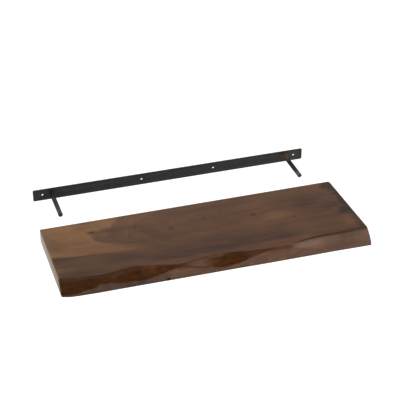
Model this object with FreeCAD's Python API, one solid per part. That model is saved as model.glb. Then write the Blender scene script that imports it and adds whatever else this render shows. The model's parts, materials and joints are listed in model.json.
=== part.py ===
import FreeCAD, Part
import os
from FreeCAD import Vector

# A live-edge plank that hangs on two round pegs, which are welded to a flat steel bar on the wall.
# X runs along the shelf, +Y points into the wall and +Z is up. The origin is the middle of the bar's
# wall face. The plank is drawn forward off its pegs, in line with them.

# Flat bar, screwed to the wall
bar_length = 885.0
bar_height = 38.0
bar_thickness = 3.0
bar_corner_radius = 5.0
screw_hole_diameter = 6.0
outer_screw_inset = 29.5
inner_screw_spacing = 236.5
inner_screw_shift = 21.0

# Pegs, cut from round rod and welded square to the bar
peg_diameter = 14.0
peg_length = 131.0
peg_inset = 58.5
peg_tip_chamfer = 1.2
weld_leg = 2.5
weld_dish = 0.4

# Plank, one board with three sawn sides and one live edge
plank_length = 914.0
plank_depth = 310.0
plank_thickness = 42.0
plank_shift = -7.6
end_skew = 6.0
back_corner_radius = 9.0
drawn_off = 223.0

# Sockets bored into the plank's back
peg_clearance = 0.5
socket_end_clearance = 4.0
weld_clearance = 1.0

# How far a cutting solid runs past the face that it cuts
overrun = 4.0

# The live edge, station by station from the left end: place along the plank as a share of its length,
# reach of the flat top as a share of its depth, height of the ridge as a share of its thickness, reach
# of the underside as a share of its depth, and hollow between lip and ridge as a share of its thickness.
# A hollow below zero is a swelling.
live_edge_shares = (
    (0.000, 0.829, 0.10, 0.930, -0.01),
    (0.020, 0.840, 0.12, 0.949, 0.00),
    (0.045, 0.863, 0.19, 0.959, 0.02),
    (0.075, 0.869, 0.29, 0.963, 0.05),
    (0.110, 0.881, 0.56, 0.967, 0.03),
    (0.155, 0.876, 0.51, 0.968, 0.06),
    (0.200, 0.855, 0.39, 0.969, 0.09),
    (0.245, 0.849, 0.34, 0.970, 0.10),
    (0.290, 0.879, 0.47, 0.972, 0.08),
    (0.335, 0.911, 0.69, 0.974, 0.03),
    (0.380, 0.931, 0.77, 0.976, -0.02),
    (0.425, 0.917, 0.58, 0.977, -0.06),
    (0.470, 0.887, 0.36, 0.979, 0.06),
    (0.515, 0.884, 0.27, 0.980, 0.11),
    (0.560, 0.902, 0.38, 0.981, 0.12),
    (0.605, 0.924, 0.69, 0.984, 0.06),
    (0.650, 0.934, 0.85, 0.987, 0.02),
    (0.695, 0.936, 0.86, 0.988, 0.01),
    (0.740, 0.934, 0.79, 0.989, -0.01),
    (0.785, 0.906, 0.43, 0.990, -0.06),
    (0.830, 0.890, 0.21, 0.990, -0.08),
    (0.875, 0.887, 0.21, 0.991, -0.08),
    (0.920, 0.886, 0.21, 0.994, -0.08),
    (0.960, 0.884, 0.21, 0.997, -0.08),
    (1.000, 0.884, 0.20, 0.999, -0.07),
)

# How far the ridge stands back from the foot, as a share of the ridge's height
ridge_lean_share = 0.16

# Sizes that follow from these
half_bar = bar_length / 2
half_thickness = plank_thickness / 2
bar_front = -bar_thickness
plank_back = bar_front - drawn_off
plank_left = plank_shift - plank_length / 2
peg_radius = peg_diameter / 2
peg_places = (peg_inset - half_bar, half_bar - peg_inset)
screw_places = (
    outer_screw_inset - half_bar,
    inner_screw_shift - inner_screw_spacing / 2,
    inner_screw_shift + inner_screw_spacing / 2,
    half_bar - outer_screw_inset,
)
outward = Vector(0, -1, 0)
inward = Vector(0, 1, 0)


def make_bar():
    """The flat bar: rounded at its four corners, with a row of screw holes at mid-height."""
    blank = Part.makeBox(
        bar_length, bar_thickness, bar_height, Vector(-half_bar, bar_front, -bar_height / 2)
    )
    corners = [edge for edge in blank.Edges if abs(edge.tangentAt(edge.FirstParameter).y) > 0.5]
    bar = blank.makeFillet(bar_corner_radius, corners)
    for place in screw_places:
        start = Vector(place, bar_front - overrun, 0)
        bar = bar.cut(Part.makeCylinder(screw_hole_diameter / 2, bar_thickness + 2 * overrun, start, inward))
    return bar


def make_peg(place):
    """A rod that stands square on the bar's front, with a small chamfer round its tip."""
    shank = Part.makeCylinder(peg_radius, peg_length - peg_tip_chamfer, Vector(place, bar_front, 0), outward)
    tip_start = Vector(place, bar_front - peg_length + peg_tip_chamfer, 0)
    tip = Part.makeCone(peg_radius, peg_radius - peg_tip_chamfer, peg_tip_chamfer, tip_start, outward)
    return shank.fuse(tip).removeSplitter()


def make_weld(place):
    """The fillet bead round a peg's root, a little dished between its two toes."""
    root = Vector(place + peg_radius, bar_front, 0)
    toe_on_bar = root + Vector(weld_leg, 0, 0)
    toe_on_peg = root + Vector(0, -weld_leg, 0)
    throat = (toe_on_bar + toe_on_peg) / 2 + Vector(-weld_dish, weld_dish, 0)
    face = Part.Arc(toe_on_bar, throat, toe_on_peg).toShape()
    sides = [Part.makeLine(root, toe_on_bar), face, Part.makeLine(toe_on_peg, root)]
    section = Part.Face(Part.Wire(sides))
    return section.revolve(Vector(place, bar_front, 0), outward, 360)


def live_edge_section(station):
    """The cut's outline at one station: everything in front of the lip, the ridge and the foot."""
    along_share, lip_share, ridge_share, foot_share, hollow_share = station
    x = plank_left + along_share * plank_length
    if along_share == 0:
        x = x - overrun
    if along_share == 1:
        x = x + overrun
    lip = Vector(x, plank_back - lip_share * plank_depth, half_thickness)
    foot = Vector(x, plank_back - foot_share * plank_depth, -half_thickness)
    ridge_height = ridge_share * plank_thickness
    ridge = foot + Vector(0, ridge_lean_share * ridge_height, ridge_height)
    slope = (ridge - lip).normalize()
    into_wood = Vector(0, -slope.z, slope.y)
    belly = (lip + ridge) / 2 + into_wood * (2 * hollow_share * plank_thickness)
    above = lip + (lip - belly).normalize() * overrun
    below = foot + (foot - ridge).normalize() * overrun
    front = plank_back - plank_depth - 2 * overrun
    far_below = Vector(x, front, below.z)
    far_above = Vector(x, front, above.z)
    bend = Part.BezierCurve()
    bend.setPoles([above, belly, ridge])
    runs = [
        bend.toShape(),
        Part.makeLine(ridge, below),
        Part.makeLine(below, far_below),
        Part.makeLine(far_below, far_above),
        Part.makeLine(far_above, above),
    ]
    return Part.Wire(runs)


def make_plank():
    """The board: planed faces, a sawn back and ends, the live edge in front and two blind sockets."""
    right = plank_left + plank_length
    corners = [
        Vector(plank_left, plank_back, -half_thickness),
        Vector(right - end_skew, plank_back, -half_thickness),
        Vector(right, plank_back - plank_depth, -half_thickness),
        Vector(plank_left, plank_back - plank_depth, -half_thickness),
    ]
    outline = Part.Face(Part.makePolygon(corners + corners[:1]))
    blank = outline.extrude(Vector(0, 0, plank_thickness))
    worn_corner = [edge for edge in blank.Edges if is_back_right(edge)]
    blank = blank.makeFillet(back_corner_radius, worn_corner)
    sections = [live_edge_section(station) for station in live_edge_shares]
    live_edge = Part.makeLoft(sections, True, False)
    plank = blank.cut(live_edge)
    socket_radius = peg_radius + peg_clearance
    socket_depth = peg_length + socket_end_clearance
    mouth_radius = peg_radius + weld_leg + weld_clearance
    mouth_depth = mouth_radius - socket_radius
    for place in peg_places:
        mouth_start = Vector(place, plank_back, 0)
        plank = plank.cut(Part.makeCylinder(socket_radius, socket_depth, mouth_start, outward))
        plank = plank.cut(Part.makeCone(mouth_radius, socket_radius, mouth_depth, mouth_start, outward))
    return plank


def is_back_right(edge):
    """Whether an edge is the blank's upright edge at the right end of its back."""
    upright = abs(edge.tangentAt(edge.FirstParameter).z) > 0.5
    middle = edge.CenterOfMass
    at_back = abs(middle.y - plank_back) < back_corner_radius
    return upright and at_back and middle.x > 0


pieces = {
    "wall_bar": make_bar(),
    "peg_left": make_peg(peg_places[0]),
    "peg_right": make_peg(peg_places[1]),
    "weld_bead_left": make_weld(peg_places[0]),
    "weld_bead_right": make_weld(peg_places[1]),
    "shelf_plank": make_plank(),
}

os.makedirs("parts", exist_ok=True)
for name, shape in pieces.items():
    solid_count = len(shape.Solids)
    print(name, "valid" if shape.isValid() else "INVALID", solid_count, "solids", round(shape.Volume, 1))
    shape.exportStep("parts/" + name + ".step")
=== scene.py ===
import json
import math

import bmesh
import bpy
import numpy as np
from mathutils import Matrix, Vector, noise


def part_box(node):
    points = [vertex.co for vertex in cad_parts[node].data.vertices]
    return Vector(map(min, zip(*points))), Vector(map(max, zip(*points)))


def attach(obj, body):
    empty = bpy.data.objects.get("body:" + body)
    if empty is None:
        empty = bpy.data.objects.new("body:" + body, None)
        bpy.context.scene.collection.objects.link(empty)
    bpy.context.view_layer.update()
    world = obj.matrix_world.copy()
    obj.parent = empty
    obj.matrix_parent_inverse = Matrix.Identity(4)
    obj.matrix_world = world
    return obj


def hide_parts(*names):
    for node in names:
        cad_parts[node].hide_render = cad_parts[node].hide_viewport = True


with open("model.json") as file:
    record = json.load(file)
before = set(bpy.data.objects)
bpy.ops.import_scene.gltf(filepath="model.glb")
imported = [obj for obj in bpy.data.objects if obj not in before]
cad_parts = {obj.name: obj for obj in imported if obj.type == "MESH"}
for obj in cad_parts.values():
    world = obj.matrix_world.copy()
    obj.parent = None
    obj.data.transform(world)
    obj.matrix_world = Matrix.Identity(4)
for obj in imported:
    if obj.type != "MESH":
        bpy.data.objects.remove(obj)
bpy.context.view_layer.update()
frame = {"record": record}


# Wall bar. A length of hot-rolled flat steel with rounded corners and four drilled holes, screwed to the
# wall. Its black mill scale is left on, its edges are rubbed bright, and welding has browned it.

mm = 0.001
bar_low, bar_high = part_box("wall_bar")
bar_corner = 5 * mm
bar_arris = 0.35 * mm
corner_steps = 10
hole_sides = 40
screw_rows = [m for m in frame["record"]["mounts"] if m["kind"] == "bolt_pattern"]
screw_radius = screw_rows[0]["dims"]["hole_r_mm"] * mm
screw_places = [
    row["pos_m"][0] + side * row["dims"]["spacing_x_mm"] * mm / 2 for row in screw_rows for side in (-1, 1)
]


def add_outline(curve, points):
    """A closed straight-sided outline through flat points."""
    line = curve.splines.new("POLY")
    line.points.add(len(points) - 1)
    for point, (x, y) in zip(line.points, points):
        point.co = (x, y, 0, 1)
    line.use_cyclic_u = True


def arc(middle, radius, start, turn, steps):
    """Points along part of a circle, its ends included."""
    angles = [start + turn * step / steps for step in range(steps + 1)]
    return [(middle[0] + radius * math.cos(a), middle[1] + radius * math.sin(a)) for a in angles]


def put_in_scene(name, shape):
    """A new object in the scene, made of a mesh, a lamp or a camera."""
    thing = bpy.data.objects.new(name, shape)
    bpy.context.scene.collection.objects.link(thing)
    return thing


def add_piece(name, mesh, sharp_angle=35):
    """A piece made of a mesh: smooth, apart from edges that turn by more than the given degrees."""
    mesh.shade_smooth()
    mesh.set_sharp_from_angle(angle=math.radians(sharp_angle))
    return put_in_scene(name, mesh)


def make_bar():
    """The bar's face drawn flat with its holes, given its thickness, and stood up against the wall."""
    half_length = (bar_high.x - bar_low.x) / 2
    half_height = (bar_high.z - bar_low.z) / 2
    half_thickness = (bar_high.y - bar_low.y) / 2
    outline = []
    for quarter, (right, up) in enumerate(((1, 1), (-1, 1), (-1, -1), (1, -1))):
        middle = (right * (half_length - bar_corner), up * (half_height - bar_corner))
        outline += arc(middle, bar_corner, quarter * math.pi / 2, math.pi / 2, corner_steps)
    curve = bpy.data.curves.new("wall_bar_face", "CURVE")
    curve.dimensions = "2D"
    curve.fill_mode = "BOTH"
    curve.extrude = half_thickness - bar_arris
    curve.bevel_depth = bar_arris
    curve.bevel_resolution = 2
    curve.offset = -bar_arris
    add_outline(curve, outline)
    last = hole_sides - 1
    for place in screw_places:
        add_outline(curve, arc((place, 0), screw_radius, 0, 2 * math.pi * last / hole_sides, last))
    flat = bpy.data.objects.new("wall_bar_flat", curve)
    mesh = bpy.data.meshes.new_from_object(flat)
    bpy.data.objects.remove(flat)
    joined = bmesh.new()
    joined.from_mesh(mesh)
    bmesh.ops.remove_doubles(joined, verts=joined.verts, dist=0.01 * mm)
    bmesh.ops.recalc_face_normals(joined, faces=joined.faces)
    joined.to_mesh(mesh)
    joined.free()
    middle = (bar_low + bar_high) / 2
    mesh.transform(Matrix.Translation(middle) @ Matrix.Rotation(math.pi / 2, 4, "X"))
    return add_piece("steel_bar", mesh)


class Shade:
    """A value or a colour that varies over a surface: one output of a node. Sums on it add Math nodes."""

    def __init__(self, tree, socket=None):
        self.tree = tree
        self.socket = socket

    def node(self, kind, settings, inputs, output=0):
        """Adds a node: first its settings, then the values or links of its sockets."""
        made = self.tree.nodes.new("ShaderNode" + kind)
        for name, value in settings.items():
            if name == "stops":
                set_stops(made.color_ramp, value)
            else:
                setattr(made, name, value)
        for name, value in inputs.items():
            if isinstance(value, Shade):
                self.tree.links.new(value.socket, made.inputs[name])
            else:
                made.inputs[name].default_value = value
        return Shade(self.tree, made.outputs[output]) if made.outputs else None

    def math(self, operation, *others):
        """What a Math node gives for this value and the others."""
        return self.node("Math", {"operation": operation}, dict(enumerate((self, *others))))

    def __add__(self, other):
        return self.math("ADD", other)

    def __sub__(self, other):
        return self.math("SUBTRACT", other)

    def __rsub__(self, other):
        return self.math("MULTIPLY_ADD", -1, other)

    def __mul__(self, other):
        return self.math("MULTIPLY", other)

    def __truediv__(self, other):
        return self.math("DIVIDE", other)

    def __pow__(self, other):
        return self.math("POWER", other)

    def __abs__(self):
        return self.math("ABSOLUTE")

    __radd__ = __add__
    __rmul__ = __mul__

    def step(self, low, high):
        """0 below low, 1 above high and an eased rise between them. Low above high gives a fall."""
        limits = {"From Min": low, "From Max": high}
        return self.node("MapRange", {"interpolation_type": "SMOOTHSTEP"}, {"Value": self, **limits})

    def tint(self, first, second):
        """The first colour where this is 0 and the second where it is 1."""
        return self.node("Mix", {"data_type": "RGBA"}, {0: self, 6: first, 7: second}, output=2)

    def ramp(self, stops):
        """The colour at this value on a ramp, whose stops are pairs of a place and screen values."""
        painted = [(place, paint(*screen)) for place, screen in stops]
        return self.node("ValToRGB", {"stops": painted}, {"Fac": self})


def set_stops(ramp, stops):
    """Gives a colour ramp its stops: pairs of a place and a colour."""
    ramp.elements.remove(ramp.elements[1])
    ramp.elements[0].position, ramp.elements[0].color = stops[0]
    for place, colour in stops[1:]:
        ramp.elements.new(place).color = colour


def paint(red, green, blue):
    """A colour from its screen values, 0 to 255, as the light it gives back."""
    screen = [value / 255 for value in (red, green, blue)]
    light = [v / 12.92 if v <= 0.04045 else ((v + 0.055) / 1.055) ** 2.4 for v in screen]
    return (*light, 1)


def clear_nodes(owner):
    """Empties the nodes of a material or of the world, so that new ones can be added."""
    owner.use_nodes = True
    owner.node_tree.nodes.clear()
    return Shade(owner.node_tree)


def start_finish(name):
    """An empty material, and the place on the object in millimetres: along, to the wall and up."""
    material = bpy.data.materials.new(name)
    blank = clear_nodes(material)
    place = blank.node("TexCoord", {}, {}, output="Object")
    apart = [blank.node("SeparateXYZ", {}, {0: place}, output=axis) * (1 / mm) for axis in "XYZ"]
    return material, blank, apart


def speckle(blank, place, sizes, detail=4):
    """Cloudy noise whose spots are about so many millimetres long on each axis."""
    scaled = {axis: value / size for axis, value, size in zip("XYZ", place, sizes)}
    vector = blank.node("CombineXYZ", {}, scaled)
    looks = {"Vector": vector, "Scale": 1.0, "Detail": detail, "Roughness": 0.55}
    return blank.node("TexNoise", {}, looks)


def close_finish(blank, colour, roughness, height, depth_of_bumps, specular, metal=0.0, dull=None):
    """Joins colour, roughness and relief in one surface, which reflects a sixth as much where it is
    dull."""
    bumps = blank.node("Bump", {}, {"Height": height, "Distance": depth_of_bumps, "Strength": 1.0})
    looks = {"Base Color": colour, "Roughness": roughness, "Metallic": metal, "Normal": bumps}
    surface = blank.node("BsdfPrincipled", {}, {**looks, "Specular IOR Level": specular})
    if dull:
        flat = blank.node("BsdfPrincipled", {}, {**looks, "Specular IOR Level": specular / 6})
        surface = blank.node("MixShader", {}, {0: dull, 1: surface, 2: flat})
    blank.node("OutputMaterial", {}, {"Surface": surface})


peg_places = [sum(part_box(node), Vector()).x / 2 for node in ("peg_left", "peg_right")]

# Where welding browned the bar, in millimetres: place along, reach, strength and colour.
heat_places = (
    (peg_places[0] / mm, 38, 0.75, (33, 30, 22)),
    (peg_places[1] / mm - 10, 38, 0.8, (46, 38, 30)),
    (peg_places[1] / mm - 2, 15, 0.8, (74, 61, 50)),
    (peg_places[1] / mm + 26, 34, 0.7, (58, 52, 45)),
)


def make_bar_finish():
    """Mill scale: blue-black and cloudy, browned round the pegs, with bright rubbed edges."""
    material, blank, (x, y, z) = start_finish("mill_scale")
    cloud = speckle(blank, (x, y, z), (26, 9, 9), detail=6)
    grit = speckle(blank, (x, y, z), (1.6, 1.6, 1.6), detail=3)
    rolled = speckle(blank, (x, y, z), (40, 1.4, 1.4), detail=3)
    colour = cloud.step(0.3, 0.7).tint(paint(24, 25, 26), paint(38, 38, 38))
    colour = (rolled.step(0.52, 0.75) * 0.35).tint(colour, paint(50, 50, 49))
    greyed = x.step(-300, 300) * 0.15 + z.step(6, -14) * x.step(-400, -100) * 0.2
    colour = greyed.tint(colour, paint(52, 52, 51))
    for place, reach, strength, burnt in heat_places:
        away = ((x - place) ** 2 + (z * 1.3) ** 2) ** 0.5 + (cloud - 0.5) * 30
        browned = away.step(reach, reach * 0.25) * strength
        colour = browned.tint(colour, paint(*burnt))
    in_from_end = bar_high.x / mm - abs(x)
    in_from_edge = bar_high.z / mm - abs(z)
    in_from_rim = in_from_end.math("MINIMUM", in_from_edge)
    brightened = (in_from_rim + (grit - 0.5) * 1.6).step(0.7, 0.1)
    colour = (brightened * 0.6).tint(colour, paint(120, 118, 114))
    roughness = 0.5 + (grit - 0.5) * 0.25 - brightened * 0.12
    close_finish(blank, colour, roughness, grit * 0.6 + cloud, 0.25 * mm, 0.28, brightened * 0.6)
    return material


wall_bar = make_bar()
wall_bar.data.materials.append(make_bar_finish())
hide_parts("wall_bar")
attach(wall_bar, "bracket")


# Pegs. Two round steel rods, sawn to length, with a small chamfer filed round the tip. Each stands
# square on the bar, and slides into a socket in the plank's back.

peg_chamfer = 1.2 * mm
peg_arris = 0.3 * mm
shank_rings = 20


def skin(name, rings, end_faces=None, closed=False):
    """A mesh of four-sided faces between neighbouring rings of points. Its ends are closed by faces given
    as places in a ring, or by one face each."""
    count = len(rings[0])
    faces = []
    for ring in range(len(rings) if closed else len(rings) - 1):
        here = ring * count
        there = (ring + 1) % len(rings) * count
        for k in range(count):
            after = (k + 1) % count
            faces.append((here + k, here + after, there + after, there + k))
    last = (len(rings) - 1) * count
    for face in [range(count)] if end_faces is None else end_faces:
        faces.append(tuple(reversed(face)))
        faces.append(tuple(last + k for k in face))
    mesh = bpy.data.meshes.new(name)
    mesh.from_pydata([point for ring in rings for point in ring], [], faces)
    mesh.validate()
    return mesh


def lathe(name, centre, profile, sides=64):
    """A mesh turned about a line that runs forward from the centre. The profile holds pairs of radius and
    distance forward."""
    rings = []
    for radius, forward in profile:
        ring = []
        for k in range(sides):
            angle = 2 * math.pi * k / sides
            ring.append(centre + Vector((radius * math.cos(angle), -forward, radius * math.sin(angle))))
        rings.append(ring)
    return skin(name, rings)


def make_peg(node):
    """A rod from the bar's front to its tip, with both edges of the chamfer eased."""
    low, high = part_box(node)
    radius = (high.x - low.x) / 2
    length = high.y - low.y
    centre = Vector(((low.x + high.x) / 2, high.y, (low.z + high.z) / 2))
    shank = [(radius, length * ring / shank_rings) for ring in range(shank_rings)]
    shoulder = length - peg_chamfer
    tip = [
        (radius, shoulder - peg_arris),
        (radius - peg_arris / 3, shoulder + peg_arris / 2),
        (radius - peg_chamfer + peg_arris, length - peg_arris),
        (radius - peg_chamfer, length),
        (radius - peg_chamfer - peg_arris, length),
    ]
    return add_piece(node + "_rod", lathe(node, centre, shank + tip))


def make_peg_finish():
    """Rod as it is drawn: dark, with fine lengthwise lines, and browned by its weld, the right one most."""
    material, blank, (x, y, z) = start_finish("drawn_rod")
    drawn = speckle(blank, (x, y, z), (0.7, 30, 0.7), detail=3)
    cloud = speckle(blank, (x, y, z), (7, 16, 7), detail=5)
    forward = bar_low.y / mm - y
    tip = (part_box("peg_left")[1].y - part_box("peg_left")[0].y) / mm
    colour = cloud.step(0.3, 0.72).tint(paint(44, 42, 40), paint(66, 64, 61))
    colour = (drawn.step(0.5, 0.72) * 0.5).tint(colour, paint(92, 90, 86))
    on_right = x.step(-1, 1)
    browned = (forward + (cloud - 0.5) * 24).step(52, 8) * (on_right * 0.5 + 0.4)
    colour = (on_right * 0.9).tint(colour, paint(35, 29, 25))
    colour = browned.tint(colour, on_right.tint(paint(46, 41, 33), paint(110, 91, 74)))
    # Lighter towards the tip, the right peg most.
    brightened = forward.step(on_right * 15 + 80, tip) * (on_right * 0.5 + 0.3)
    colour = brightened.tint(colour, paint(116, 116, 106))
    sawn = forward.step(tip - 0.8, tip - 0.2)
    colour = (sawn * 0.8).tint(colour, paint(36, 36, 33))
    roughness = 0.42 + (drawn - 0.5) * 0.3 + browned * 0.12
    close_finish(blank, colour, roughness, drawn + cloud * 0.5, 0.12 * mm, 0.4, 0.35)
    return material


peg_finish = make_peg_finish()
for node in ("peg_left", "peg_right"):
    peg = make_peg(node)
    peg.data.materials.append(peg_finish)
    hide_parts(node)
    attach(peg, "bracket")


# Weld beads. A small fillet of weld metal runs round each peg's root and joins it to the bar. It was
# laid in short overlapping ripples, and left dark.

bead_sides = 130
bead_rings = 10
ripples_round = 26
ripple_lag = 2.2
ripple_height = 0.1 * mm
lumps_round = 2.5
lump_height = 0.16 * mm
weld_dish = 0.4 * mm
weld_slant = 0.7


def make_weld(node, seed):
    """A bead laid round a peg's root: rings from its toe on the bar to its toe on the peg, and one ring
    in the corner between them."""
    low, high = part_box(node)
    outer = (high.x - low.x) / 2
    leg = high.y - low.y
    root = outer - leg
    centre = Vector(((low.x + high.x) / 2, high.y, (low.z + high.z) / 2))
    rings = [[] for _ in range(bead_rings)]
    for k in range(bead_sides):
        angle = 2 * math.pi * k / bead_sides
        around = Vector((lumps_round * math.cos(angle), lumps_round * math.sin(angle), seed))
        lump = noise.noise(around) - 0.5
        for ring, points in enumerate(rings):
            along = ring / (bead_rings - 2)
            swell = math.sin(min(along, 1) * math.pi)
            ripple = math.sin(ripples_round * angle + ripple_lag * along + seed) - 1
            sunk = weld_dish * swell - ripple_height * swell * ripple - lump_height * swell * lump
            radius = outer - leg * along - sunk * weld_slant
            forward = leg * along - sunk * weld_slant
            if ring == bead_rings - 1:
                radius, forward = root, 0
            points.append(centre + Vector((radius * math.cos(angle), -forward, radius * math.sin(angle))))
    return add_piece(node + "_fillet", skin(node, rings, (), closed=True), 50)


def make_weld_finish():
    """Weld metal: dark, with brown and straw patches. The right bead is painted lighter: painted light."""
    material, blank, place = start_finish("weld_metal")
    cloud = speckle(blank, place, (3, 3, 3))
    grit = speckle(blank, place, (0.7, 0.7, 0.7), detail=3)
    colour = cloud.step(0.35, 0.68).tint(paint(40, 38, 33), paint(60, 52, 40))
    # Painted light: the right bead is painted lighter all over, lifting the shade on its side turned from
    # the light.
    colour = (place[0].step(-1, 1) * 0.7).tint(colour, paint(96, 82, 68))
    close_finish(blank, colour, 0.42 + grit * 0.2, grit, 0.1 * mm, 0.4, 0.4)
    return material


weld_finish = make_weld_finish()
for node, seed in (("weld_bead_left", 0.4), ("weld_bead_right", 2.1)):
    weld = make_weld(node, seed)
    weld.data.materials.append(weld_finish)
    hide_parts(node)
    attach(weld, "bracket")


# Plank. One thick board of dark hardwood: planed top and underside, sawn back and ends, and a natural
# edge in front, where the bark was peeled off and the lower half was dressed flat. Two blind sockets in
# its back take the pegs.

plank_low, plank_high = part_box("shelf_plank")
plank_length = plank_high.x - plank_low.x
plank_middle = (plank_high.x + plank_low.x) / 2
plank_depth = 310 * mm
plank_thickness = plank_high.z - plank_low.z
end_skew = 6 * mm
back_corner_radius = 9 * mm
ridge_lean_share = 0.16

# Station by station from the left end, all in shares: place along the plank, reach of the flat top,
# height of the ridge, reach of the underside, hollow between lip and ridge, and how dark the peeled
# wood is there.
place_column, lip_column, ridge_column, foot_column, hollow_column, dark_column = range(6)
live_edge_shares = np.array(
    (
        (0.000, 0.829, 0.10, 0.930, -0.01, 1.00),
        (0.020, 0.840, 0.12, 0.949, 0.00, 1.00),
        (0.045, 0.863, 0.19, 0.959, 0.02, 1.00),
        (0.075, 0.869, 0.29, 0.963, 0.05, 1.00),
        (0.110, 0.881, 0.56, 0.967, 0.03, 0.90),
        (0.155, 0.876, 0.51, 0.968, 0.06, 0.95),
        (0.200, 0.855, 0.39, 0.969, 0.09, 1.00),
        (0.245, 0.849, 0.34, 0.970, 0.10, 1.00),
        (0.290, 0.879, 0.47, 0.972, 0.08, 1.00),
        (0.335, 0.911, 0.69, 0.974, 0.03, 0.90),
        (0.380, 0.931, 0.77, 0.976, -0.02, 0.66),
        (0.425, 0.917, 0.58, 0.977, -0.06, 0.10),
        (0.470, 0.887, 0.36, 0.979, 0.06, 0.66),
        (0.515, 0.884, 0.27, 0.980, 0.11, 1.00),
        (0.560, 0.902, 0.38, 0.981, 0.12, 1.00),
        (0.605, 0.924, 0.69, 0.984, 0.06, 0.62),
        (0.650, 0.934, 0.85, 0.987, 0.02, 0.65),
        (0.695, 0.936, 0.86, 0.988, 0.01, 0.50),
        (0.740, 0.934, 0.79, 0.989, -0.01, 0.40),
        (0.785, 0.906, 0.43, 0.990, -0.06, 0.05),
        (0.830, 0.890, 0.21, 0.990, -0.08, 0.00),
        (0.875, 0.887, 0.21, 0.991, -0.08, 0.00),
        (0.920, 0.886, 0.21, 0.994, -0.08, 0.00),
        (0.960, 0.884, 0.21, 0.997, -0.08, 0.00),
        (1.000, 0.884, 0.20, 0.999, -0.07, 0.00),
    )
)

# How far each edge is eased, and how many rows of points lie on each face.
arris_at_back = 1.0 * mm
arris_at_lip = 1.2 * mm
arris_at_ridge = 2.5 * mm
arris_at_foot = 1.0 * mm
arris_at_end = 0.5 * mm
most_eased_share = 0.4
rows_up_back = 8
rows_on_top = 48
rows_down_slope = 26
rows_down_facet = 12
rows_under_front = 8
corner_rows = 3
outlines_along = 450

# What the drawknife left in the hollows and on the dressed face: depth in millimetres, size of the
# lumps, how fast they change along the grain, and a seed. The upper face is smoother at the right.
hollow_cuts = ((1.3, 26 * mm, 1, 3), (0.5, 8 * mm, 1, 9), (0.4, 2.4 * mm, 0.1, 5))
facet_cuts = ((0.5, 30 * mm, 1, 3), (0.25, 2.2 * mm, 0.15, 5))
smooth_from = 660 * mm
smooth_over = 30 * mm
smooth_share = 0.8

# One chip is missing near the foot, and the left end's lower corner is worn round in front.
chip_depth_mm = 2.0
chip_place, chip_half_length = 302 * mm, 5 * mm
chip_height, chip_half_height = 6 * mm, 3 * mm
worn_corner_radius = 3.5 * mm
worn_corner_from = 262 * mm
worn_corner_over = 20 * mm


def between_stations(share, column):
    """A smooth value at a place along the plank, from the stations on both sides of it."""
    places = live_edge_shares[:, place_column]
    values = live_edge_shares[:, column]
    slopes = np.gradient(values, places)
    after = min(max(int(np.searchsorted(places, share)), 1), len(places) - 1)
    before = after - 1
    gap = places[after] - places[before]
    t = (share - places[before]) / gap
    keep = (1 + 2 * t) * (1 - t) ** 2 * values[before] + t**2 * (3 - 2 * t) * values[after]
    lean = t * (1 - t) ** 2 * slopes[before] - t**2 * (1 - t) * slopes[after]
    return keep + gap * lean


def bend(start, middle, end, t):
    """Points on the curve that leaves start for middle and comes from there to end."""
    t = np.asarray(t)[:, None]
    return (1 - t) ** 2 * start + 2 * t * (1 - t) * middle + t**2 * end


def section_points(share):
    """The plank's outline at one place: depth from its back and height from its underside. With each
    point goes how far down the live edge it is: 0 at the lip, 1 at the ridge and 2 at the foot. On the
    top it falls below 0, by 1 for each 10 mm behind the lip."""
    lip = np.array((between_stations(share, lip_column) * plank_depth, plank_thickness))
    foot = np.array((between_stations(share, foot_column) * plank_depth, 0.0))
    ridge_height = between_stations(share, ridge_column) * plank_thickness
    ridge = foot + (-ridge_lean_share * ridge_height, ridge_height)
    slope = (ridge - lip) / np.linalg.norm(ridge - lip)
    into_wood = np.array((slope[1], -slope[0]))
    belly = (lip + ridge) / 2 + into_wood * 2 * between_stations(share, hollow_column) * plank_thickness
    under = np.array((0.0, 0.0))
    over = np.array((0.0, plank_thickness))

    spread = (1 - np.cos(np.linspace(0, 1, rows_on_top) * math.pi)) / 2
    depths = arris_at_back + spread * (lip[0] - arris_at_lip - arris_at_back)
    front_depths = np.linspace(foot[0] - arris_at_foot, depths[-1], rows_under_front)[:-1]
    under_depths = np.append(front_depths, depths[::-1])
    heights = np.linspace(arris_at_back, plank_thickness - arris_at_back, rows_up_back)
    slope_length = np.linalg.norm(ridge - lip)
    slope_run = np.linspace(arris_at_lip / slope_length, 1 - arris_at_ridge / slope_length, rows_down_slope)
    facet_length = np.linalg.norm(foot - ridge)
    eased_at_ridge = min(arris_at_ridge / facet_length, most_eased_share)
    eased_at_foot = min(arris_at_foot / facet_length, most_eased_share)
    facet_run = np.linspace(eased_at_ridge, 1 - eased_at_foot, rows_down_facet)
    runs = (
        np.stack((heights * 0, heights), axis=1),
        np.stack((depths, depths * 0 + plank_thickness), axis=1),
        bend(lip, belly, ridge, slope_run),
        bend(ridge, (ridge + foot) / 2, foot, facet_run),
        np.stack((under_depths, under_depths * 0), axis=1),
    )
    behind_lip = np.maximum((depths - lip[0]) / (10 * mm), -2)
    down_runs = (None, behind_lip, slope_run, 1 + facet_run, None)
    points = []
    down = []
    for k, (corner, run) in enumerate(zip((under, over, lip, ridge, foot), runs)):
        round_corner = np.arange(1, corner_rows + 1) / (corner_rows + 1)
        points += [*bend(runs[k - 1][-1], corner, run[0], round_corner), *run]
        down += [k - 2] * corner_rows
        down += [-2] * len(run) if down_runs[k] is None else list(down_runs[k])
    return np.array(points), np.array(down)


def end_faces():
    """The faces that close an end: strips between top and underside, and a face at back and front."""
    first_on_top = rows_up_back + 2 * corner_rows
    last_on_top = first_on_top + rows_on_top - 1
    under_front = last_on_top + 3 * corner_rows + rows_down_slope + rows_down_facet + rows_under_front
    last_under = under_front + rows_on_top - 1
    strips = [
        (first_on_top + k, first_on_top + k + 1, last_under - k - 1, last_under - k)
        for k in range(rows_on_top - 1)
    ]
    return [[last_under, *range(first_on_top + 1)], list(range(last_on_top, under_front + 1)), *strips]


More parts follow.
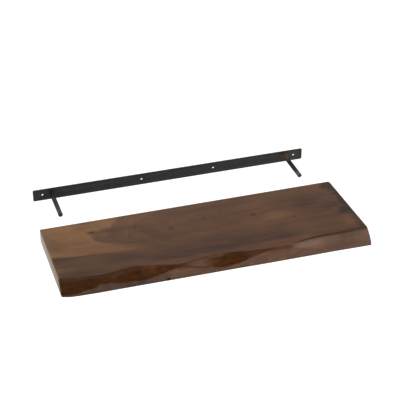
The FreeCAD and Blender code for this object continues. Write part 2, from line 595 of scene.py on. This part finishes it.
def right_end(depth):
    """How long the plank is at a depth from its back: its right end is out of square, and its back
    corner is worn round."""
    worn = min(max(back_corner_radius - depth, 0), back_corner_radius)
    cut_off = back_corner_radius - math.sqrt(back_corner_radius**2 - worn**2)
    return plank_length - end_skew * (1 - min(depth / plank_depth, 1)) - cut_off


def clamp(share):
    """The share itself, kept between 0 and 1."""
    return min(max(share, 0), 1)


def cut_depth(cuts, along, depth, height):
    """How deep all the given cuts of the knife are at a place, in millimetres."""
    total = 0
    for deepest, size, squeeze, seed in cuts:
        place = Vector((along * squeeze, depth, height)) / size + Vector((seed, seed, 0))
        total += deepest * (0.5 + 0.5 * noise.noise(place))
    return total


def hand_work(along, depth, height, low):
    """How deep the drawknife went below the even surface, at a place on the live edge."""
    if low <= 0 or low >= 2:
        return 0
    if low < 1:
        smooth = smooth_share * clamp((along - smooth_from) / smooth_over)
        return cut_depth(hollow_cuts, along, depth, height) * (1 - smooth) * math.sin(low * math.pi) * mm
    past_chip = (along - chip_place) / chip_half_length
    above_chip = (height - chip_height) / chip_half_height
    chip = chip_depth_mm * math.exp(-(past_chip**2) - above_chip**2)
    return (cut_depth(facet_cuts, along, depth, height) * math.sin((low - 1) * math.pi) + chip) * mm


def wear_corner(along, depth, height):
    """Rounds the lower corner of the left end, where the plank was set down on it. The wear fades away
    behind the front edge."""
    to_end = max(worn_corner_radius - along, 0)
    to_underside = max(worn_corner_radius - height, 0)
    away = math.hypot(to_end, to_underside)
    if away <= worn_corner_radius:
        return along, height
    share = clamp((depth - worn_corner_from) / worn_corner_over) * (1 - worn_corner_radius / away)
    return along + to_end * share, height + to_underside * share


def make_plank_mesh():
    """Outlines side by side along the plank, from end to end. They are drawn in a little at the ends,
    which eases the edges there."""
    ease = np.array((0, 0.3, 1)) * arris_at_end
    near_end = np.array((1.2, 2)) * mm
    first = 3 * mm
    between = np.linspace(first, plank_length - first, outlines_along)
    between = [*near_end, *between, *(plank_length - near_end[::-1])]
    columns = [*ease, *between, *(plank_length - ease[::-1])]
    drawn_in = [*ease[::-1], *([0] * len(between)), *ease]
    rings = []
    marks = []
    for along, inset in zip(columns, drawn_in):
        share = along / plank_length
        points, down = section_points(share)
        ahead = np.roll(points, -1, axis=0) - np.roll(points, 1, axis=0)
        inward = np.stack((ahead[:, 1], -ahead[:, 0]), axis=1)
        inward /= np.linalg.norm(inward, axis=1)[:, None]
        ring = []
        for (depth, height), (in_depth, in_height), low in zip(points, inward, down):
            sink = inset + hand_work(along, depth, height, low)
            depth += in_depth * sink
            height += in_height * sink
            worn_along, height = wear_corner(along, depth, height)
            x = plank_low.x + worn_along / plank_length * right_end(depth)
            ring.append(Vector((x, plank_high.y - depth, plank_low.z + height)))
        rings.append(ring)
        dark = between_stations(share, dark_column)
        marks += [(low, float(low > 0), dark) for low in down]
    mesh = skin("live_edge_plank", rings, end_faces())
    for name, values in zip(("down", "peeled", "dark"), np.array(marks, dtype=np.float32).T):
        mesh.attributes.new(name, "FLOAT", "POINT").data.foreach_set("value", np.clip(values, -2, 2))
    return mesh


def cut_sockets(mesh):
    """Bores a socket for each peg into the back, with a countersunk mouth that clears the weld bead."""
    solid = put_in_scene("plank_blank", mesh)
    spent = [solid]
    bore = 7.5 * mm
    mouth = 10.5 * mm
    mouth_depth = 3 * mm
    drill_point = 131 * mm
    socket_depth = 135 * mm
    overrun = 1 * mm
    tip = bore / 6
    profile = [(mouth + overrun, -overrun), (bore, mouth_depth), (bore, drill_point), (tip, socket_depth)]
    for place in peg_places:
        centre = Vector((place, plank_high.y, (plank_low.z + plank_high.z) / 2))
        drill = put_in_scene("drill", lathe("drill", centre, profile))
        cut = solid.modifiers.new("socket", "BOOLEAN")
        cut.operation = "DIFFERENCE"
        cut.solver = "EXACT"
        cut.object = drill
        spent.append(drill)
    ready = solid.evaluated_get(bpy.context.evaluated_depsgraph_get())
    bored = bpy.data.meshes.new_from_object(ready)
    for thing in spent:
        bpy.data.objects.remove(thing)
    return bored


# The wood's colours, dark to light: heartwood, sapwood, and the live edge in its hollows and where it
# was dressed.
heartwood = (
    (0.0, (34, 20, 12)),
    (0.3, (66, 40, 24)),
    (0.5, (90, 58, 34)),
    (0.72, (109, 73, 43)),
    (1.0, (134, 94, 60)),
)
sapwood = (
    (0.0, (84, 52, 27)),
    (0.3, (108, 72, 39)),
    (0.5, (125, 86, 50)),
    (0.75, (143, 103, 62)),
    (1.0, (158, 122, 78)),
)
hollow_wood = ((0.0, (38, 18, 7)), (0.5, (66, 36, 16)), (1.0, (98, 60, 31)))
dressed_wood = ((0.0, (58, 38, 25)), (0.5, (96, 62, 40)), (1.0, (130, 92, 64)))

# Places and sizes from here on are in millimetres: along from the plank's middle and deep from its back.
# First the width of a growth ring, and the knots that the rings swerve round: place, reach and swell.
ring_width = 5.4
knots = ((160, 110, 16, 7), (275, 158, 14, 5), (-95, 110, 14, 5), (-322, 60, 16, 4))

# Darker and lighter places of the planed wood: place, reach, how many times as far it reaches along the
# grain, and change of tone.
tone_places = (
    (180, 66, 55, 1.6, 0.18),
    (-165, 28, 46, 3.0, 0.20),
    (-255, 38, 32, 1.4, 0.13),
    (-385, 32, 26, 1.6, 0.10),
    (-430, 105, 44, 1.0, -0.10),
    (-325, 5, 16, 2.5, -0.32),
    (285, 82, 32, 1.5, 0.09),
    (395, 130, 46, 1.2, -0.11),
    (-394, 6, 38, 1.4, 0.10),
    (-434, 78, 26, 0.7, -0.11),
    (-428, 124, 20, 1.3, -0.09),
    (-446, 215, 26, 0.8, 0.12),
    (228, 130, 36, 1.7, 0.20),
    (350, 110, 90, 1.6, -0.11),
    (428, 225, 34, 1.4, 0.12),
    (150, 150, 60, 2.2, 0.05),
    (-295, 82, 30, 1.4, 0.12),
    (-160, 75, 70, 1.6, 0.08),
    (-300, 215, 45, 2.2, -0.07),
    (-395, 252, 36, 2.8, -0.10),
    (60, 228, 34, 3.4, -0.13),
    (340, 200, 60, 2.0, -0.08),
)

# Dark hearts of the small knots: place, size and strength. Then redder and yellower stains: place,
# reach, stretch along the grain, strength and colour. Last the dirt: place, reach and strength.
knot_hearts = (
    (162, 110, 10, 0.85),
    (276, 158, 9, 0.8),
    (-93, 109, 11, 0.6),
    (16, 83, 11, 0.3),
    (73, 66, 9, 0.3),
)
stain_places = (
    (240, 142, 26, 2.4, 0.18, (118, 86, 42)),
    (425, 218, 30, 1.4, 0.20, (112, 64, 48)),
    (-335, 195, 34, 3.6, 0.25, (98, 62, 32)),
    (285, 178, 34, 2.8, 0.25, (98, 62, 34)),
    (-457, 70, 90, 0.35, 0.35, (92, 80, 68)),
)
dirt_places = ((440, 22, 36, 0.75), (438, 166, 29, 0.75), (414, 124, 16, 0.5))


class Wood:
    """The plank's wood, point by point. In millimetres, a point is so far along from the plank's middle,
    deep from its back and high from its underside. With it go how far down the live edge it is, whether
    it was peeled, how dark the peeled wood is there, whether it is on a sawn end, and its grain."""

    def __init__(self, blank, place):
        self.blank = blank
        self.along = place[0] - plank_middle / mm
        self.deep = plank_high.y / mm - place[1]
        self.high = place[2] - plank_low.z / mm
        self.down, self.peeled, self.dark = (
            blank.node("Attribute", {"attribute_name": name}, {}, output="Fac")
            for name in ("down", "peeled", "dark")
        )
        facing = blank.node("TexCoord", {}, {}, output="Normal")
        self.end_grain = abs(blank.node("SeparateXYZ", {}, {0: facing}, output="X")).step(0.6, 0.85)
        self.drift = self.speckle((260, 60, 60), detail=2) - 0.5
        self.waver = self.speckle((60, 13, 13)) - 0.5
        self.cloud = self.speckle((120, 45, 45), detail=3) - 0.5
        self.fibre = self.speckle((150, 2.4, 2.4)) - 0.5
        self.hair = self.speckle((45, 0.9, 0.9), detail=3) - 0.5
        self.pores = self.speckle((9, 0.6, 0.6), detail=2).step(0.6, 0.72)
        self.furrow = self.speckle((30, 3, 3), detail=5) - 0.5
        self.blotch = self.speckle((24, 14, 14)) - 0.5
        self.ring = self.growth_rings()
        year = (self.ring / ring_width).math("FRACT")
        self.late = year.step(0.25, 0.9) * year.step(1.0, 0.94)

    def speckle(self, sizes, detail=4):
        """Cloudy noise whose spots are about so many millimetres long, deep and high in the wood."""
        return speckle(self.blank, (self.along, self.deep, self.high), sizes, detail)

    def away(self, place_along, place_deep, stretch=1.0):
        """Distance in millimetres from an upright line through the plank, less along the grain."""
        over = (self.along - place_along) * (1 / stretch)
        back = self.deep - place_deep
        return (over * over + back * back) ** 0.5

    def growth_rings(self):
        """Distance from the middle of the tree, which runs above the plank and sinks to the right. The
        rings swerve round the knots."""
        from_tip = self.along + 334
        right_of_tip = from_tip.math("MAXIMUM", 0)
        core = 146 - from_tip * 0.05 - right_of_tip * right_of_tip * 0.0008
        core = core.math("SMOOTH_MAX", 55, 40) + (plank_thickness / mm - self.high)
        across = (self.deep - 78) * (1.2 - 0.32 * self.deep.step(60, 100))
        bulge = sum(self.away(kx, kd, 2.2).step(reach, 0) * swell for kx, kd, reach, swell in knots)
        return (across * across + core * core) ** 0.5 + self.drift * 26 + self.waver * 5 + bulge


def planed_tone(wood):
    """How light the planed wood is, 0 to 1, with the places that stand out on this plank."""
    along, deep, waver = wood.along, wood.deep, wood.waver
    year = speckle(wood.blank, (wood.ring, along * 0.04, wood.high * 0.02), (9, 9, 9), detail=2)
    band = speckle(wood.blank, (wood.ring, along * 0.05, wood.high * 0.05), (24, 24, 24), detail=2) - 0.5
    tone = 0.5 + band * 0.35 + wood.cloud * 0.3 + wood.fibre * 0.5 + wood.hair * 0.25
    tone = tone - wood.late * year.step(0.3, 0.7) * 0.1 - wood.pores * 0.2
    for place_along, place_deep, reach, stretch, change in tone_places:
        tone = tone + wood.away(place_along, place_deep, stretch).step(reach, 0) * change
    front_streak = (deep + waver * 26).step(186, 214) * (deep + waver * 20).step(272, 250)
    front_streak = front_streak * along.step(-330, -120) * along.step(300, 190)
    tone = tone - front_streak * 0.10 - deep.step(238, 262) * along.step(260, 310) * 0.08
    tone = tone + deep.step(40, 5) * along.step(-300, -260) * 0.07
    curl = speckle(wood.blank, (along + deep * 0.25, deep, wood.high), (6, 70, 70), detail=1) - 0.5
    return tone + curl * 0.35 * wood.away(-215, 72, 0.7).step(75, 20) * (1 - wood.peeled)


def sapwood_share(wood, behind_line):
    """1 in the sapwood, which lies behind a dark line, and 0 in the heartwood, which reaches into it with
    a rounded tip."""
    past_tip = wood.along + 324
    front_side = wood.deep - 90 - past_tip.math("MAXIMUM", 0) ** 0.5 * 6.4
    back_side = (past_tip - 66).math("MAXIMUM", 0) * -0.9 - past_tip * 0.22 + 62 - wood.deep
    outside = front_side.math("SMOOTH_MAX", back_side, 12).math("SMOOTH_MAX", past_tip * -1, 12)
    outside = (outside + wood.waver * 14 + wood.drift * 12).step(-9, 8)
    return outside * behind_line * wood.along.step(-150, -300)


def planed_wood(wood):
    """Colour and dullness of the planed wood: dark heartwood, and pale sapwood at the left."""
    along, deep, waver = wood.along, wood.deep, wood.waver
    tone = planed_tone(wood)
    heart = tone.ramp(heartwood)
    sap = (tone + wood.away(-330, 150, 3.0).step(60, 0) * -0.1).ramp(sapwood)
    from_line = deep - (along * 0.058 + 194.5) + waver * 12
    in_sapwood = sapwood_share(wood, from_line.step(7, -9))
    sap_band = abs(deep + waver * 30 - 102).step(24, 4) * along.step(-300, -380) * 0.3
    colour = in_sapwood.tint(heart, sap_band.tint(sap, heart))
    line_width = along.step(-350, -450) * 9 + 3
    dark_line = (abs(from_line + 1) / line_width).step(1.3, 0.4) * along.step(-300, -430)
    dark_line = dark_line * (1 - wood.peeled)
    colour = (dark_line * 0.8).tint(colour, paint(64, 49, 22))
    dark_mark = (wood.away(-318, 60, 2.8) + waver * 7).step(7.5, 2)
    colour = (dark_mark * 0.7).tint(colour, paint(60, 35, 15))
    warm = wood.speckle((110, 34, 34), detail=2)
    colour = (warm.step(0.5, 0.62) * 0.2 * (1 - in_sapwood)).tint(colour, paint(104, 58, 42))
    return colour, dark_mark * 0.7 + dark_line * 0.4


def add_spots(wood, colour):
    """Adds the small knots, the stains, and the dirt from long handling of the right end."""
    hearts = wood.along * 0
    for place_along, place_deep, size, strength in knot_hearts:
        heart = (wood.away(place_along, place_deep) + wood.waver * 4).step(size, size * 0.3)
        hearts = hearts.math("MAXIMUM", heart * strength)
    colour = hearts.tint(colour, paint(58, 27, 10))
    for place_along, place_deep, reach, stretch, strength, stain in stain_places:
        stained = wood.away(place_along, place_deep, stretch).step(reach, reach * 0.2) * strength
        colour = stained.tint(colour, paint(*stain))
    dirt = (wood.along + wood.waver * 50).step(426, 442) * (wood.deep.step(190, 165) * 0.25 + 0.5)
    for place_along, place_deep, reach, strength in dirt_places:
        ragged = wood.away(place_along, place_deep, 1.2) + wood.cloud * 20 + wood.waver * 50
        dirt = dirt.math("MAXIMUM", ragged.step(reach, reach * 0.4) * strength)
    dirt = dirt * (1 - wood.peeled)
    colour = dirt.tint(colour, paint(38, 33, 23))
    return colour, hearts * 0.25 + dirt * 0.25


def hollow_share(wood):
    """1 in the dark hollows of the live edge and 0 elsewhere. Their rims are softer in some places."""
    along, down, blotch = wood.along, wood.down, wood.blotch
    in_left_hollow = along.step(-105, -140)
    right_rim = along.step(-55, -25) * along.step(38, 2)
    rim_width = along.step(-395, -330) * in_left_hollow * (0.36 - along.step(-270, -220) * 0.12)
    rim_width = rim_width + along.step(-330, -395) * 0.25 + right_rim * 0.31 + 0.06
    rim_strength = 0.85 - along.step(-330, -380) * 0.45 - along.step(-320, -250) * in_left_hollow * 0.25
    rim_strength = rim_strength - right_rim * 0.6
    below_lip = down + blotch * 0.15
    rim = (below_lip / rim_width).step(0.1, 1).math("MAXIMUM", below_lip.step(0, 0.08) * rim_strength)
    low_place = abs(along + 364).step(17, 2) * 0.3
    above_ridge = (down + blotch * 0.12 - low_place).step(1.04, 0.92)
    return (wood.dark + blotch * 0.3).step(0.05, 0.95) * above_ridge * rim * wood.peeled


def live_edge_wood(wood, colour, in_hollow):
    """Adds the live edge: dark in the hollows, pale where the knife dressed it. It has a dark line at the
    lip, another below the lobe between the hollows, and one chip. Light and shade are painted in too: a
    painted highlight in the left hollow, a painted sheen and a painted grey reflection on the right of the
    dressed face, and painted shade along the foot and in the chip."""
    along, down, waver, blotch = wood.along, wood.down, wood.waver, wood.blotch
    not_sawn = 1 - wood.end_grain
    tone = 0.5 + wood.furrow * 0.5 + blotch * 0.75 + wood.hair * 0.35
    tone = tone - abs(along + 250).step(60, 20) * 0.08
    # Painted highlight: a lighter patch high on the slope of the left hollow.
    tone = tone + abs(along + 204).step(32, 6) * down.step(0.8, 0.3) * 0.3
    dressed_tone = tone + wood.fibre * 0.3 - along.step(-130, -190) * 0.25 - along.step(180, 230) * 0.1
    colour = (wood.peeled * not_sawn).tint(colour, dressed_tone.ramp(dressed_wood))
    olive = wood.speckle((26, 14, 14), detail=2).step(0.46, 0.6)
    hollow = (olive * 0.25).tint(tone.ramp(hollow_wood), paint(66, 46, 18))
    colour = (in_hollow * not_sawn).tint(colour, hollow)

    right_lip = (along + waver * 30).step(205, 250) * 0.8
    lobe_lip = along.step(-120, -95) * along.step(-15, -50) * 0.5
    lip_line = abs(down - 0.03 + waver * 0.1).step(0.19, 0.05) * (right_lip + lobe_lip)
    colour = (lip_line * not_sawn).tint(colour, paint(52, 24, 11))
    # Painted sheen: the polished face at the right is painted paler, standing in for the window's
    # reflection on it.
    brightened = along.step(205, 235) * along.step(372, 280) * down.step(0.02, 0.12) * down.step(1.3, 0.75)
    colour = (brightened * 0.13).tint(colour, paint(150, 134, 116))
    # Painted reflection: further right the peeled wood is painted greyer, standing in for the pale
    # reflection there.
    greyed = (along.step(295, 340) * 0.07 + along.step(385, 440) * 0.1) * wood.peeled
    colour = greyed.tint(colour, paint(112, 106, 98))
    lobe_line = abs(down - 0.94 + blotch * 0.25).step(0.18, 0.04)
    lobe_line = lobe_line * along.step(-112, -92) * along.step(-25, -50)
    colour = (lobe_line * 0.85).tint(colour, paint(70, 38, 15))
    yellowed = along.step(-80, -45) * along.step(35, 5) * down.step(0.96, 1.06) * down.step(1.8, 1.5)
    colour = (yellowed * 0.4).tint(colour, paint(66, 46, 22))
    # Painted shade along the foot: its eased edge is painted greyer, and the dressed face just above it
    # darker in the middle.
    colour = (down.step(1.9, 2) * 0.6).tint(colour, paint(98, 82, 70))
    painted_shade_at_foot = down.step(1.65, 1.95) * along.step(-215, -190) * along.step(130, 40)
    colour = (painted_shade_at_foot * 0.3).tint(colour, paint(58, 46, 34))
    # Painted shade: the chip's hollow is painted dark.
    chip = (((along + 155) * 0.5) ** 2 + (wood.high - 4.8) ** 2) ** 0.5
    chip = (chip + blotch * 3).step(4.2, 2.2) * down.step(1.0, 1.2)
    colour = (chip * 0.8).tint(colour, paint(40, 32, 18))
    matt_facet = along.step(-200, -235) * along.step(-315, -285) * down.step(1, 1.2)
    return colour, in_hollow.math("MAXIMUM", chip) + lip_line * 0.8 + matt_facet * 0.12


def sawn_ends(wood, colour, dots, saw_marks):
    """Adds the end grain, which drinks more oil: darker, with the pores as dots and faint saw marks. The
    left end is painted pale, and so is the eased edge above it: painted light, for the bright glancing
    reflection there."""
    # Painted light on the eased upper edge of the left end, in a pale colour like the end's.
    painted_light_on_left_edge = wood.along.step(-452.5, -456.5) * wood.deep.step(50, 150) * wood.high.step(8, 16)
    painted_light_on_left_edge = painted_light_on_left_edge * (1 - wood.end_grain) * (1 - wood.peeled * 0.8)
    colour = (painted_light_on_left_edge * 0.5).tint(colour, paint(168, 134, 104))
    # Painted light: the left end face is painted pale, standing in for the glancing reflection on it.
    left_end = wood.end_grain * wood.along.step(0, -1)
    pale = wood.deep.step(10, 130).tint(paint(176, 138, 100), paint(150, 110, 68))
    colour = (left_end * 0.85).tint(colour, pale)
    sawn = (dots * 0.3 + 0.2 - saw_marks * 0.4) * wood.end_grain
    colour = sawn.tint(colour, paint(44, 28, 17))
    return colour, left_end * wood.deep.step(120, 260) * 0.4


def make_wood_finish():
    """Dark oiled hardwood, cut through its growth rings, and polished at the right of the live edge, where
    a sheen is also painted into the colour.
    """
    material, blank, place = start_finish("oiled_hardwood")
    wood = Wood(blank, place)
    dots = wood.speckle((0.8, 0.8, 0.8), detail=2).step(0.55, 0.7)
    saw_marks = wood.speckle((5, 3.2, 60), detail=2) - 0.5
    in_hollow = hollow_share(wood)
    colour, dull_planed = planed_wood(wood)
    colour, dull_spots = add_spots(wood, colour)
    colour, dull_edge = live_edge_wood(wood, colour, in_hollow)
    colour, dull_end = sawn_ends(wood, colour, dots, saw_marks)
    dull = dull_edge + dull_planed + dull_spots + dull_end

    polished = wood.along.step(196, 225) * wood.along.step(385, 300) + wood.along.step(385, 430) * 0.4
    roughness = 0.42 + wood.fibre * 0.15 + wood.pores * 0.1 - wood.end_grain * 0.16
    roughness = roughness + wood.peeled * (0.12 - polished * 0.2) - in_hollow * 0.2
    relief = wood.hair * 0.5 + wood.fibre * 0.5 - wood.pores * 0.5 - wood.late * 0.12
    relief = relief + wood.peeled * (wood.furrow * 2.0 + wood.blotch)
    relief = relief + wood.end_grain * (dots * -0.4 + saw_marks)
    relief = relief * (1 - polished * wood.peeled * 0.9)
    close_finish(blank, colour, roughness, relief, 0.25 * mm, 0.5, dull=dull)
    return material


plank = add_piece("live_edge_board", cut_sockets(make_plank_mesh()))
plank.data.materials.append(make_wood_finish())
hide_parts("shelf_plank")
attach(plank, "shelf")


# Studio. A pale floor well below the shelf, which hangs at its usual height. Plain soft light comes from
# all round, and a little more from a wide window high up at the front right.

floor_drop = 1.25
floor_half = 30.0
window_side = Vector((0.52, -0.52, 0.67)).normalized()
window_distance = 3
window_size = (1.6, 1.4)
window_power = 40
window_gleam = 2.7
shelf_middle = (0, -0.4, 0)
air_strength = 0.74


def ray_kinds(blank):
    """Whether light is seen by the camera, and whether it is seen in a reflection."""
    return [blank.node("LightPath", {}, {}, output=kind) for kind in ("Is Camera Ray", "Is Glossy Ray")]


def make_floor():
    """A matt floor that looks white in the picture, but for the object's shadow."""
    sides = ((-1, -1), (1, -1), (1, 1), (-1, 1))
    corners = [(x * floor_half, y * floor_half, -floor_drop) for x, y in sides]
    mesh = bpy.data.meshes.new("floor")
    mesh.from_pydata(corners, [], [(0, 1, 2, 3)])
    floor = put_in_scene("floor", mesh)
    material = bpy.data.materials.new("pale_floor")
    blank = clear_nodes(material)
    camera_ray, glossy_ray = ray_kinds(blank)
    matt = blank.node("BsdfDiffuse", {}, {"Color": (0.8, 0.8, 0.8, 1)})
    glow = blank.node("Emission", {}, {"Color": (1, 1, 1, 1), "Strength": camera_ray * 0.3 + 0.2})
    lifted = blank.node("AddShader", {}, {0: matt, 1: glow})
    mixed = blank.node("MixShader", {}, {0: camera_ray.math("MAXIMUM", glossy_ray), 1: matt, 2: lifted})
    blank.node("OutputMaterial", {}, {"Surface": mixed})
    mesh.materials.append(material)
    return floor


def make_world():
    """White all round the object. Reflections see it too, with darkness overhead and a window's light on
    the right."""
    world = bpy.data.worlds.new("studio")
    bpy.context.scene.world = world
    air = clear_nodes(world)
    camera_ray, glossy_ray = ray_kinds(air)
    direction = air.node("TexCoord", {}, {}, output="Generated")
    walls = air.node("SeparateXYZ", {}, {0: direction}, output="Z").step(0.85, 0.1)
    back_wall = {0: direction, 1: (-0.3, 0.95, 0)}
    behind = air.node("VectorMath", {"operation": "DOT_PRODUCT"}, back_wall, output="Value")
    walls = walls * behind.step(0.1, 0.95)
    from_window = {0: direction, 1: window_side}
    aside = air.node("VectorMath", {"operation": "DISTANCE"}, from_window, output="Value")
    seen_in_gloss = walls.math("MAXIMUM", aside.step(0.3, 0.06) * window_gleam)
    strengths = {0: glossy_ray, 2: air_strength, 3: seen_in_gloss}
    strength = air.node("Mix", {"data_type": "FLOAT"}, strengths).math("MAXIMUM", camera_ray)
    backdrop = air.node("Background", {}, {"Color": (1, 1, 1, 1), "Strength": strength})
    air.node("OutputWorld", {}, {"Surface": backdrop})


def add_softbox(name, place, size, power, target):
    """A lamp with a wide flat face, turned towards a point."""
    lamp = bpy.data.lights.new(name, "AREA")
    lamp.shape = "RECTANGLE"
    lamp.size, lamp.size_y = size
    lamp.energy = power
    holder = put_in_scene(name, lamp)
    aim = Vector(target) - Vector(place)
    holder.visible_glossy = False
    holder.matrix_world = Matrix.Translation(place) @ aim.to_track_quat("-Z", "Y").to_matrix().to_4x4()


make_floor()
make_world()
add_softbox("window", window_side * window_distance, window_size, window_power, shelf_middle)


# Camera. It stands to the left of the shelf's middle and looks down on it. Its turn and its dip are in
# radians, and its lens is as long as so many widths of the picture.

camera_place = Vector((-0.9208, -3.1965, 1.9482))
camera_turn = 0.30801
camera_dip = 0.55141
focal_share = 3.0444

camera = bpy.data.cameras.new("camera")
camera.sensor_width = 36
camera.lens = focal_share * camera.sensor_width
camera_stand = put_in_scene("camera", camera)
camera_stand.location = camera_place
camera_stand.rotation_euler = (math.pi / 2 - camera_dip, 0, -camera_turn)
bpy.context.scene.camera = camera_stand
bpy.context.scene.view_settings.view_transform = "Standard"
